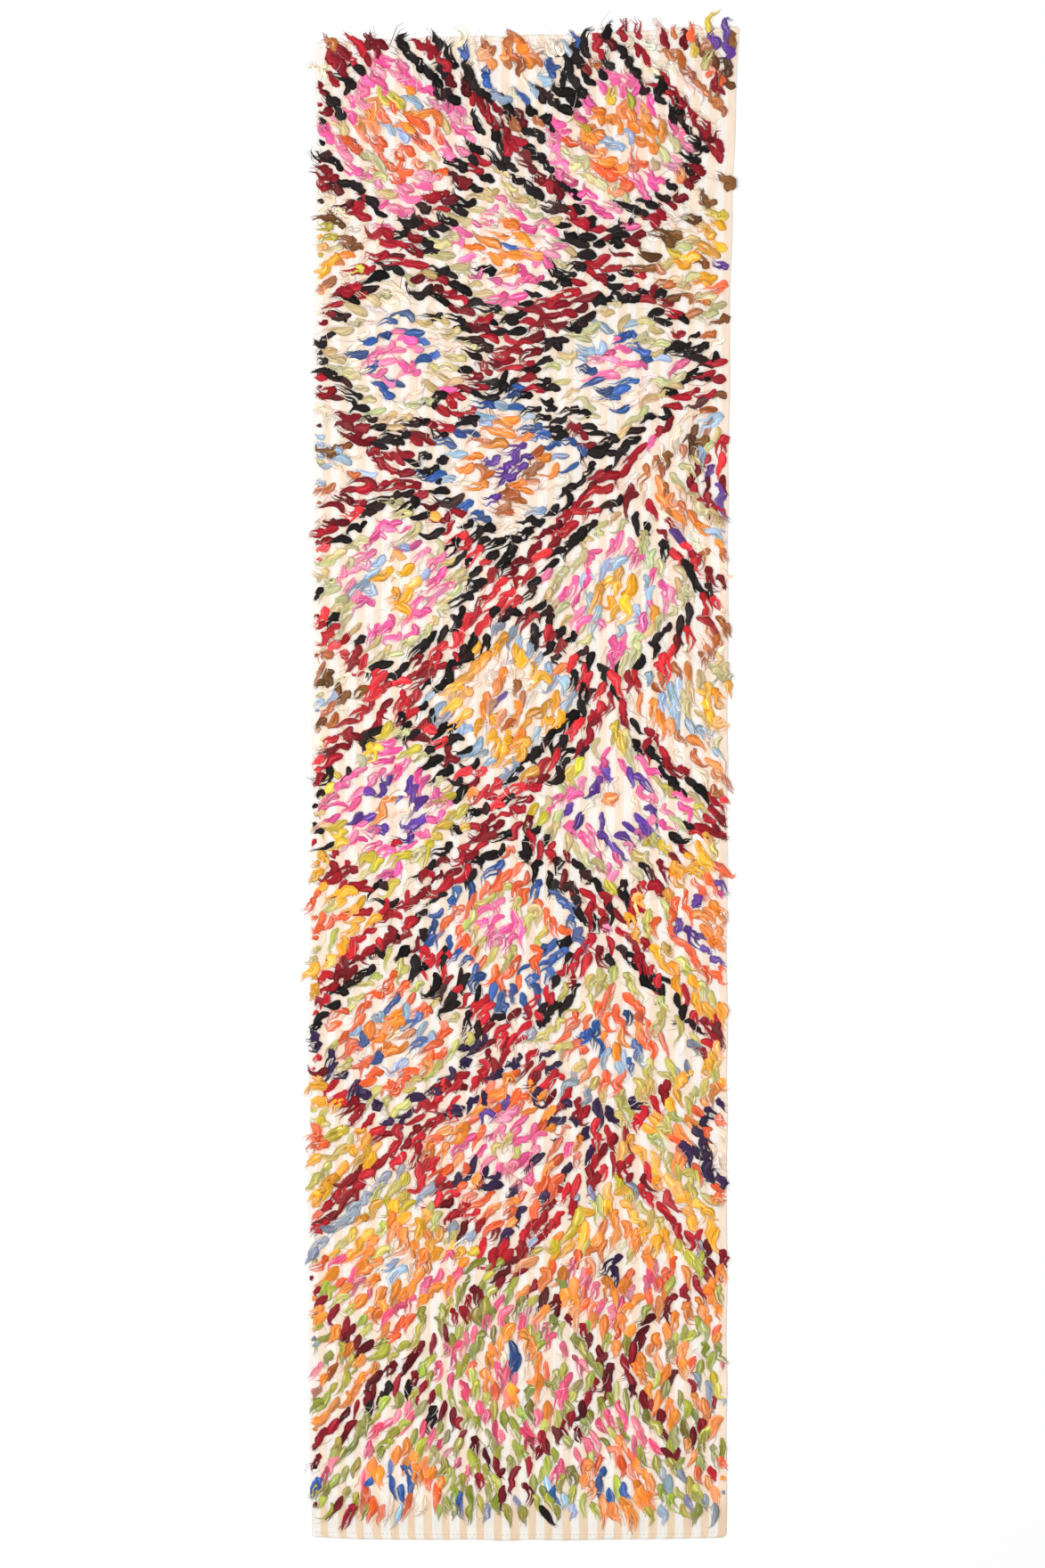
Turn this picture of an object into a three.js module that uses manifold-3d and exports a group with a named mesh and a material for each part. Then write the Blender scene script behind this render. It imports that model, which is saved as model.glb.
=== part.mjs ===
// A hand-knotted wool runner, one piece off the loom, lying flat on a floor.
// Its ground is a narrow flat-woven cloth, turned over at both ends as a hem that belongs to the cloth.
// Fat locks of unspun wool are knotted into that cloth in close rows. They lie flat on it as a lumpy
// slab, their tails hang over its edges onto the floor, and one striped band is left bare at the foot.
// Units are millimetres. +Z is up, +Y runs from the foot to the head, and +X runs across.
import * as THREE from 'three';
import { mergeVertices } from 'three/addons/utils/BufferGeometryUtils.js';
import Module from 'manifold-3d';

const wasm = await Module();
wasm.setup();

// Ground cloth
const GROUND_THICKNESS = 3;
const HEM_DEPTH = 13;
const HEM_THICKNESS = 5;
const CORNER_ROUNDING = 9;
const CORNER_SEGMENTS = 4;
const OUTLINE_STEPS_ALONG = 36;
const OUTLINE_STEPS_ACROSS = 8;

// Where the two selvedges run, from the foot to the head
const SELVEDGES = [
  { along: -1538, left: -425, right: 421.5 },
  { along: -1305, left: -430, right: 423 },
  { along: -941, left: -432, right: 423 },
  { along: -531, left: -431, right: 424 },
  { along: -149, left: -429, right: 424 },
  { along: 233, left: -424, right: 425 },
  { along: 615, left: -422, right: 426 },
  { along: 997, left: -420, right: 430 },
  { along: 1243, left: -418, right: 436 },
  { along: 1425, left: -417, right: 443 },
  { along: 1538, left: -416, right: 449 },
];

// Where the two ends run, from the left selvedge to the right one
const ENDS = [
  { across: 0, foot: -1534, head: 1520 },
  { across: 0.2, foot: -1537, head: 1529 },
  { across: 0.45, foot: -1539, head: 1534 },
  { across: 0.7, foot: -1538, head: 1540 },
  { across: 0.9, foot: -1537, head: 1549 },
  { across: 1, foot: -1532, head: 1553 },
];

// How the edges curve between the rows of those tables
const CURVE_TENSION = 0.5;
const CURVE_SAMPLES_PER_ROW = 8;

// Pile slab
const BARE_BAND = 62;
const PILE_INSET = 4;
const PILE_ROOT = 1.5;
const LUMP_PITCH_ACROSS = 36;
const LUMP_PITCH_ALONG = 33;
const LUMP_SHIFT = 5;
const PILE_EDGE_HEIGHT = 6;
const PILE_LOW = 9;
const PILE_HIGH = 19;
const HEAD_MATTING = { from: 0.88, extra: 3 };

// Locks at the rim. reach is how far a tail lies past the edge it crosses, lean is its turn towards
// the foot in degrees, and pitch is the spacing of the locks along that edge.
const RIM = {
  left: { pitch: 78, shortest: 9, longest: 27, lean: 32 },
  right: { pitch: 80, shortest: 8, longest: 22, lean: 38 },
  head: { pitch: 45, shortest: 20, longest: 44, lean: 18 },
  foot: { pitch: 35.4, shortest: 30, longest: 56, lean: 10 },
};
const LOCK_WIDTH = { narrowest: 12, widest: 18 };
const LOCK_SINK = 0.4;
const LOCK_SIDES = 3;
const LEAN_SPREAD = 22;
const PITCH_SPREAD = 0.25;

// Sections of a lock from its root in the slab to its tip. place is 0 at the edge that it crosses and
// 1 at its tip, width is a share of the lock's width, and rise is the height of its back.
const LOCK_SECTIONS = [
  { place: -1, width: 0.7, rise: 2.5 },
  { place: 0, width: 0.95, rise: 6 },
  { place: 0.5, width: 0.72, rise: 4.5 },
  { place: 1, width: 0.08, rise: 1 },
];
const LOCK_ROOT_DEPTH = 12;

// Points nearer than this are one point
const MERGE_DISTANCE = 1e-3;

// The same numbers on every run
const SEED = 4711;

function seededRandom(seed) {
  let state = seed;
  return () => {
    state = (state + 0x6d2b79f5) | 0;
    let mixed = Math.imul(state ^ (state >>> 15), 1 | state);
    mixed = (mixed + Math.imul(mixed ^ (mixed >>> 7), 61 | mixed)) ^ mixed;
    return ((mixed ^ (mixed >>> 14)) >>> 0) / 4294967296;
  };
}

const random = seededRandom(SEED);
const between = (low, high) => low + (high - low) * random();

// Reads a column of a table at a place between its rows, with a smooth curve through them.
function smoothColumn(table, key, column) {
  const curve = new THREE.CatmullRomCurve3(
    table.map((row) => new THREE.Vector3(row[key], row[column], 0)),
    false,
    'catmullrom',
    CURVE_TENSION,
  );
  const first = table[0][key];
  const span = table[table.length - 1][key] - first;
  const samples = curve.getPoints(table.length * CURVE_SAMPLES_PER_ROW);
  return (value) => {
    const wanted = THREE.MathUtils.clamp(value, first, first + span);
    const after = samples.findIndex((sample) => sample.x >= wanted - MERGE_DISTANCE);
    if (after <= 0) return samples[0].y;
    const low = samples[after - 1];
    const high = samples[after];
    return THREE.MathUtils.mapLinear(wanted, low.x, high.x, low.y, high.y);
  };
}

const leftSelvedge = smoothColumn(SELVEDGES, 'along', 'left');
const rightSelvedge = smoothColumn(SELVEDGES, 'along', 'right');
const footEnd = smoothColumn(ENDS, 'across', 'foot');
const headEnd = smoothColumn(ENDS, 'across', 'head');

// A place on the cloth: across runs 0 to 1 from left to right, along 0 to 1 from foot to head.
function onCloth(across, along) {
  const y = THREE.MathUtils.lerp(footEnd(across), headEnd(across), along);
  const x = THREE.MathUtils.lerp(leftSelvedge(y), rightSelvedge(y), across);
  return new THREE.Vector2(x, y);
}

const CLOTH_WIDTH = onCloth(1, 0.5).x - onCloth(0, 0.5).x;
const CLOTH_LENGTH = headEnd(0.5) - footEnd(0.5);

function solidOf(geometry) {
  const bare = geometry.clone();
  bare.deleteAttribute('normal');
  bare.deleteAttribute('uv');
  const merged = mergeVertices(bare, MERGE_DISTANCE);
  const mesh = new wasm.Mesh({
    numProp: 3,
    vertProperties: merged.attributes.position.array,
    triVerts: new Uint32Array(merged.index.array),
  });
  return new wasm.Manifold(mesh);
}

function geometryOf(solid) {
  const mesh = solid.getMesh();
  const geometry = new THREE.BufferGeometry();
  geometry.setAttribute('position', new THREE.BufferAttribute(mesh.vertProperties, 3));
  geometry.setIndex(new THREE.BufferAttribute(mesh.triVerts, 1));
  geometry.computeVertexNormals();
  return geometry;
}

// The flat stretch of cloth between two places along it, as a shape with its corners rounded.
function clothShape(from, to, rounding) {
  const stepsAlong = Math.max(1, Math.round((to - from) * OUTLINE_STEPS_ALONG));
  const outline = [];
  for (let i = 0; i < OUTLINE_STEPS_ACROSS; i += 1) {
    outline.push(onCloth(i / OUTLINE_STEPS_ACROSS, from));
  }
  for (let j = 0; j < stepsAlong; j += 1) {
    outline.push(onCloth(1, THREE.MathUtils.lerp(from, to, j / stepsAlong)));
  }
  for (let i = OUTLINE_STEPS_ACROSS; i > 0; i -= 1) {
    outline.push(onCloth(i / OUTLINE_STEPS_ACROSS, to));
  }
  for (let j = stepsAlong; j > 0; j -= 1) {
    outline.push(onCloth(0, THREE.MathUtils.lerp(from, to, j / stepsAlong)));
  }
  const corners = new Set([
    0,
    OUTLINE_STEPS_ACROSS,
    OUTLINE_STEPS_ACROSS + stepsAlong,
    2 * OUTLINE_STEPS_ACROSS + stepsAlong,
  ]);
  const shape = new THREE.Shape();
  outline.forEach((point, index) => {
    if (!corners.has(index) || rounding === 0) {
      if (index === 0) shape.moveTo(point.x, point.y);
      else shape.lineTo(point.x, point.y);
      return;
    }
    const before = outline[(index + outline.length - 1) % outline.length];
    const after = outline[(index + 1) % outline.length];
    const arriving = before.clone().sub(point).setLength(rounding).add(point);
    const leaving = after.clone().sub(point).setLength(rounding).add(point);
    if (index === 0) shape.moveTo(arriving.x, arriving.y);
    else shape.lineTo(arriving.x, arriving.y);
    shape.quadraticCurveTo(point.x, point.y, leaving.x, leaving.y);
  });
  return shape;
}

function raised(shape, thickness) {
  return solidOf(
    new THREE.ExtrudeGeometry(shape, {
      depth: thickness,
      bevelEnabled: false,
      curveSegments: CORNER_SEGMENTS,
    }),
  );
}

function groundCloth() {
  const hemShare = HEM_DEPTH / CLOTH_LENGTH;
  const sheet = raised(clothShape(0, 1, CORNER_ROUNDING), GROUND_THICKNESS);
  const footHem = raised(clothShape(0, hemShare, 0), HEM_THICKNESS);
  const headHem = raised(clothShape(1 - hemShare, 1, 0), HEM_THICKNESS);
  const rounded = raised(clothShape(0, 1, CORNER_ROUNDING), HEM_THICKNESS);
  return sheet.add(footHem.add(headHem).intersect(rounded));
}

// The height of the pile over the cloth: low and even at its rim, lumpy with locks inside it.
function pileHeight(along, atRim) {
  if (atRim) return PILE_EDGE_HEIGHT;
  const matting = along > HEAD_MATTING.from ? HEAD_MATTING.extra : 0;
  return between(PILE_LOW, PILE_HIGH) + matting;
}

// A closed slab on a staggered lattice, so that its top is a field of lock-sized lumps.
function pileSlab() {
  const columns = Math.round(CLOTH_WIDTH / LUMP_PITCH_ACROSS);
  const rows = Math.round((CLOTH_LENGTH - BARE_BAND) / LUMP_PITCH_ALONG);
  const sideInset = PILE_INSET / CLOTH_WIDTH;
  const lowest = BARE_BAND / CLOTH_LENGTH;
  const highest = 1 - PILE_INSET / CLOTH_LENGTH;
  const positions = [];
  const index = [];
  const layer = (rows + 1) * (columns + 1);
  const lattice = [];
  for (let j = 0; j <= rows; j += 1) {
    for (let i = 0; i <= columns; i += 1) {
      const atRim = i === 0 || j === 0 || i === columns || j === rows;
      const shift = j % 2 === 1 && i > 0 && i < columns ? 0.5 : 0;
      const across = THREE.MathUtils.lerp(sideInset, 1 - sideInset, (i + shift) / columns);
      const along = THREE.MathUtils.lerp(lowest, highest, j / rows);
      const place = onCloth(across, along);
      if (!atRim) {
        place.x += between(-LUMP_SHIFT, LUMP_SHIFT);
        place.y += between(-LUMP_SHIFT, LUMP_SHIFT);
      }
      lattice.push({ place, height: pileHeight(along, atRim) });
    }
  }
  lattice.forEach(({ place, height }) => positions.push(place.x, place.y, height));
  lattice.forEach(({ place }) => positions.push(place.x, place.y, PILE_ROOT));

  const addPair = (a, b, c) => {
    index.push(a, b, c);
    index.push(a + layer, c + layer, b + layer);
  };
  for (let j = 0; j < rows; j += 1) {
    for (let i = 0; i < columns; i += 1) {
      const near = j * (columns + 1) + i;
      const far = near + columns + 1;
      if (j % 2 === 0) {
        addPair(near, near + 1, far);
        addPair(near + 1, far + 1, far);
      } else {
        addPair(near, far + 1, far);
        addPair(near, near + 1, far + 1);
      }
    }
  }
  const addWall = (a, b) => {
    index.push(a, a + layer, b + layer);
    index.push(a, b + layer, b);
  };
  const corner = (i, j) => j * (columns + 1) + i;
  for (let i = 0; i < columns; i += 1) {
    addWall(corner(i, 0), corner(i + 1, 0));
    addWall(corner(i + 1, rows), corner(i, rows));
  }
  for (let j = 0; j < rows; j += 1) {
    addWall(corner(columns, j), corner(columns, j + 1));
    addWall(corner(0, j + 1), corner(0, j));
  }
  const geometry = new THREE.BufferGeometry();
  geometry.setAttribute('position', new THREE.Float32BufferAttribute(positions, 3));
  geometry.setIndex(index);
  return solidOf(geometry);
}

// One lock of three sides: two along its flat underside and one along its back. edge is where it
// crosses the rim, outward the rim's normal there, and floor the height that its tail comes to rest at.
function rimLock({ edge, outward, lean, reach, width, floor }) {
  const heading = outward.clone().rotateAround(new THREE.Vector2(), THREE.MathUtils.degToRad(lean));
  const side = new THREE.Vector2(-heading.y, heading.x);
  const slant = Math.cos(THREE.MathUtils.degToRad(lean));
  const rings = LOCK_SECTIONS.map((section) => {
    const outreach = section.place < 0 ? -LOCK_ROOT_DEPTH : section.place * reach;
    const centre = edge.clone().addScaledVector(heading, outreach / slant);
    const underside = section.place > 0 ? floor : GROUND_THICKNESS - LOCK_SINK;
    const half = (section.width * width) / 2;
    const flank = (sign) => centre.clone().addScaledVector(side, sign * half);
    return [
      [...flank(1).toArray(), underside],
      [...flank(-1).toArray(), underside],
      [...centre.toArray(), underside + section.rise],
    ];
  });
  const positions = rings.flat(2);
  const index = [];
  for (let ring = 0; ring < rings.length - 1; ring += 1) {
    for (let corner = 0; corner < LOCK_SIDES; corner += 1) {
      const a = ring * LOCK_SIDES + corner;
      const b = ring * LOCK_SIDES + ((corner + 1) % LOCK_SIDES);
      index.push(a, b + LOCK_SIDES, b);
      index.push(a, a + LOCK_SIDES, b + LOCK_SIDES);
    }
  }
  const last = (rings.length - 1) * LOCK_SIDES;
  index.push(0, 1, 2);
  index.push(last, last + 2, last + 1);
  const geometry = new THREE.BufferGeometry();
  geometry.setAttribute('position', new THREE.Float32BufferAttribute(positions, 3));
  geometry.setIndex(index);
  return solidOf(geometry);
}

// The locks along one edge. placeAt gives the edge's points from a share of its length.
function rimLocks({ pitch, shortest, longest, lean }, length, placeAt, outward, leanSign, floor) {
  const count = Math.floor(length / pitch);
  const locks = [];
  for (let i = 0; i < count; i += 1) {
    const share = (i + 0.5 + between(-PITCH_SPREAD, PITCH_SPREAD)) / count;
    locks.push(
      rimLock({
        edge: placeAt(share),
        outward,
        lean: leanSign * lean + between(-LEAN_SPREAD, LEAN_SPREAD),
        reach: between(shortest, longest),
        width: between(LOCK_WIDTH.narrowest, LOCK_WIDTH.widest),
        floor,
      }),
    );
  }
  return locks;
}

function allRimLocks() {
  const sideFrom = BARE_BAND / CLOTH_LENGTH;
  const sideLength = CLOTH_LENGTH - BARE_BAND;
  const upSide = (share) => THREE.MathUtils.lerp(sideFrom, 1, share);
  const left = new THREE.Vector2(-1, 0);
  const right = new THREE.Vector2(1, 0);
  const head = new THREE.Vector2(0, 1);
  const foot = new THREE.Vector2(0, -1);
  return [
    ...rimLocks(RIM.left, sideLength, (share) => onCloth(0, upSide(share)), left, 1, 0),
    ...rimLocks(RIM.right, sideLength, (share) => onCloth(1, upSide(share)), right, -1, 0),
    ...rimLocks(RIM.head, CLOTH_WIDTH, (share) => onCloth(share, 1), head, 1, 0),
    ...rimLocks(
      RIM.foot,
      CLOTH_WIDTH,
      (share) => onCloth(share, sideFrom),
      foot,
      -1,
      GROUND_THICKNESS - LOCK_SINK,
    ),
  ];
}

const rugSolid = allRimLocks().reduce(
  (joined, lock) => joined.add(lock),
  groundCloth().add(pileSlab()),
);

// The origin is the middle of the rug's own box, on the floor under it.
const rugGeometry = geometryOf(rugSolid);
rugGeometry.computeBoundingBox();
const middle = rugGeometry.boundingBox.getCenter(new THREE.Vector3());
rugGeometry.translate(-middle.x, -middle.y, -rugGeometry.boundingBox.min.z);

const wool = new THREE.MeshStandardMaterial({ color: 0xc98a6b, roughness: 0.9, metalness: 0 });
const rug = new THREE.Mesh(rugGeometry, wool);
rug.name = 'rug';

const model = new THREE.Group();
model.add(rug);

export default model;
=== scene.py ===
"""A hand-knotted wool runner, laid flat: a striped flat-woven cloth with thousands of fat locks of unspun
wool knotted into it in staggered rows, which draw a lattice of stepped diamonds.

The frame is in metres. Sizes are written in millimetres and turned into metres by MM, and places on the cloth
are given from its own middle, across (+ to the right) and along (+ towards the head).
"""

import math

import bpy
import numpy as np
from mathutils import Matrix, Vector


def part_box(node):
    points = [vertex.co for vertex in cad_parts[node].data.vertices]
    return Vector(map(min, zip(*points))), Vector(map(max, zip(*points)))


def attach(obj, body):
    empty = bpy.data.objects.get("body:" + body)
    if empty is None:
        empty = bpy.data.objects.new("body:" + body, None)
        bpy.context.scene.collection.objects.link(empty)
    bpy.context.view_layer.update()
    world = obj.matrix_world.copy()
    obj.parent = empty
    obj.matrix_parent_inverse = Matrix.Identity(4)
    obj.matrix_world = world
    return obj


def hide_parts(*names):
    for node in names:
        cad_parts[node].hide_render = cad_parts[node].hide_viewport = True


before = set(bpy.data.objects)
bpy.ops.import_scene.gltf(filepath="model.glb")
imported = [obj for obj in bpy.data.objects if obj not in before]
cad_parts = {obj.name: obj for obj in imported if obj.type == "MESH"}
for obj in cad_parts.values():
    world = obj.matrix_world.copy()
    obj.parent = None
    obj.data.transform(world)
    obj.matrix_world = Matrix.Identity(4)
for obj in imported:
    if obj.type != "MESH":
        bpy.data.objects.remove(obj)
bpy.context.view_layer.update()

MM = 0.001
rng = np.random.default_rng(4711)

# Ground cloth
CLOTH_WIDTH = 850
CLOTH_LENGTH = 3076
GROUND_THICKNESS = 3.0
HEM_THICKNESS = 4.8
HEM_DEPTH = 13
STITCH_PITCH = 8.5
STITCH_LENGTHS = (4.2, 5.6)
STITCH_THICKNESS = 1.1
CORNER_ROUNDING = 9
STRIPE_PAIR = 35.4
WEFT_PITCH = 2.1
WARP_PITCH = 3.2
FIRST_STRIPE = 9.5
BARE_BAND = 74
CLOTH_CELLS = (44, 150)

# Where the two selvedges run: places along the cloth from the foot to the head, and the edges there
SELVEDGE_PLACES = (-1538, -1305, -941, -531, -149, 233, 615, 997, 1243, 1425, 1538)
LEFT_SELVEDGE = (-425, -430, -432, -431, -429, -424, -422, -420, -418, -417, -416)
RIGHT_SELVEDGE = (421.5, 423, 423, 424, 424, 425, 426, 430, 436, 443, 449)

# Where the two ends run: shares of the way from the left selvedge to the right one, and the edges there
END_SHARES = (0, 0.2, 0.45, 0.7, 0.9, 1)
FOOT_END = (-1534, -1537, -1539, -1538, -1537, -1532)
HEAD_END = (1520, 1529, 1534, 1540, 1549, 1553)
LOWEST_FOOT = -1539

# The cloth's middle in the row frame: the foot edge is the lowest point along Y of the whole rug
MIDDLE = np.array([0.0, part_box("rug")[0][1] - LOWEST_FOOT * MM])

# Knots: one in each pair of stripes, every second row shifted by half a pair
KNOT_ROW_PITCH = 19.3
LAST_ROW = 1560
KNOT_SHIFT = (3.4, 2.6)
KNOT_EDGE_MARGIN = 7
KNOT_INSIDE = 3
HEAD_MARGIN = 10

# The way that the locks lie, in degrees anticlockwise from +X, at these places across the rug. Each row
# begins with its own place along it, from the head to the foot.
FLOW_ACROSS = (-385, -205, -45, 115, 195, 275, 370)
FLOW = (
    (1534, 115, 118, 95, 98, 100, 102, 102),
    (1480, 128, 125, 120, 118, 118, 118, 104),
    (1334, 128, 140, 122, 142, 140, 125, 120),
    (1180, 170, 156, 168, 148, 160, 150, 140),
    (1040, 182, 170, 172, 174, 180, 170, 190),
    (900, 190, 178, 182, 190, 188, 180, 185),
    (760, 176, 162, 180, 190, 195, 210, 215),
    (640, 180, 174, 194, 196, 214, 296, 280),
    (520, 203, 195, 212, 220, 228, 304, 298),
    (400, 214, 228, 230, 236, 236, 258, 292),
    (180, 220, 228, 243, 260, 268, 275, 290),
    (80, 222, 213, 224, 238, 282, 308, 310),
    (-20, 206, 217, 208, 226, 305, 312, 316),
    (-130, 214, 219, 216, 290, 296, 300, 306),
    (-220, 213, 219, 240, 298, 300, 290, 285),
    (-330, 216, 235, 246, 250, 292, 310, 302),
    (-570, 210, 222, 229, 230, 270, 276, 286),
    (-820, 224, 238, 227, 244, 288, 300, 295),
    (-950, 217, 237, 225, 232, 258, 280, 284),
    (-1080, 226, 250, 267, 264, 253, 265, 268),
    (-1350, 236, 253, 272, 281, 292, 286, 285),
    (-1451, 250, 264, 272, 277, 288, 288, 288),
)

# Slow drifts of that way: the length of the wave, its swing in degrees, its heading and its phase in degrees
FLOW_DRIFTS = ((260, 6, 20, 40), (170, 7, 75, 200), (125, 8, 140, 310), (90, 7, 200, 90), (150, 6, 100, 10))

# How the locks change along the rug: along, length, width, how wildly they curl, the share that forks into
# two legs from the head on, how much the tail is slimmer than the head, and how pointed the head is
LOCK_SIZES = np.array(
    [
        (1534, 61, 19.1, 1.1, 0.2, 0.25, 0.35),
        (1250, 58, 19.1, 1.0, 0.3, 0.2, 0.3),
        (900, 57, 17.8, 0.95, 0.25, 0.35, 0.25),
        (550, 59, 17.8, 1.05, 0.3, 0.4, 0.15),
        (100, 61, 17.8, 1.15, 0.3, 0.4, 0.1),
        (-400, 61, 17.6, 1.15, 0.3, 0.4, 0.1),
        (-800, 60, 19.0, 1.0, 0.3, 0.3, 0.25),
        (-1200, 53, 18.3, 0.7, 0.25, 0.15, 0.5),
        (-1450, 52, 19.0, 0.6, 0.2, 0.1, 0.6),
    ]
)
# How far a lock of wildness 1 turns, in degrees: off the flow, at its knot, along its middle, at its tip and
# in a wave, and the share of such locks that hook right round at the knot
LEAN, ROOT_TURN, BEND, CURL, WAVE = 8, 20, 34, 56, 28
HOOKED_SHARE = 0.2
# The share of tails that hang well over the cloth's edge, how far they do, and how far those at the head do
OVERHANG_SHARE = 0.12
OVERHANG = (2, 23)
FRINGE = (10, 46)
FRINGED_FROM = 1465
# Tails leave the cloth this far from its edge, and have come down to the floor that far past it
SINKING = (-3, 16)
# Near the head of the rug the wool is crimped: how long a ripple is, and how far it swings in degrees
RIPPLE_LENGTH = 19
RIPPLE_SWING = 42
CRIMPED_FROM = (900, 1250)
# The breadth of a lock from its knot to its tip, with a round head and with a pointed one
ROUND_LOCK = np.array([0.66, 1.0, 1.0, 0.86, 0.67, 0.43, 0.12])
LEAF_LOCK = np.array([0.2, 0.7, 0.98, 1.0, 0.83, 0.52, 0.12])
PATH_SAMPLES = 31
# A strand lies flat on what is under it: how deep its underside is for the height of its top
UNDERSIDE = 0.35

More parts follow.
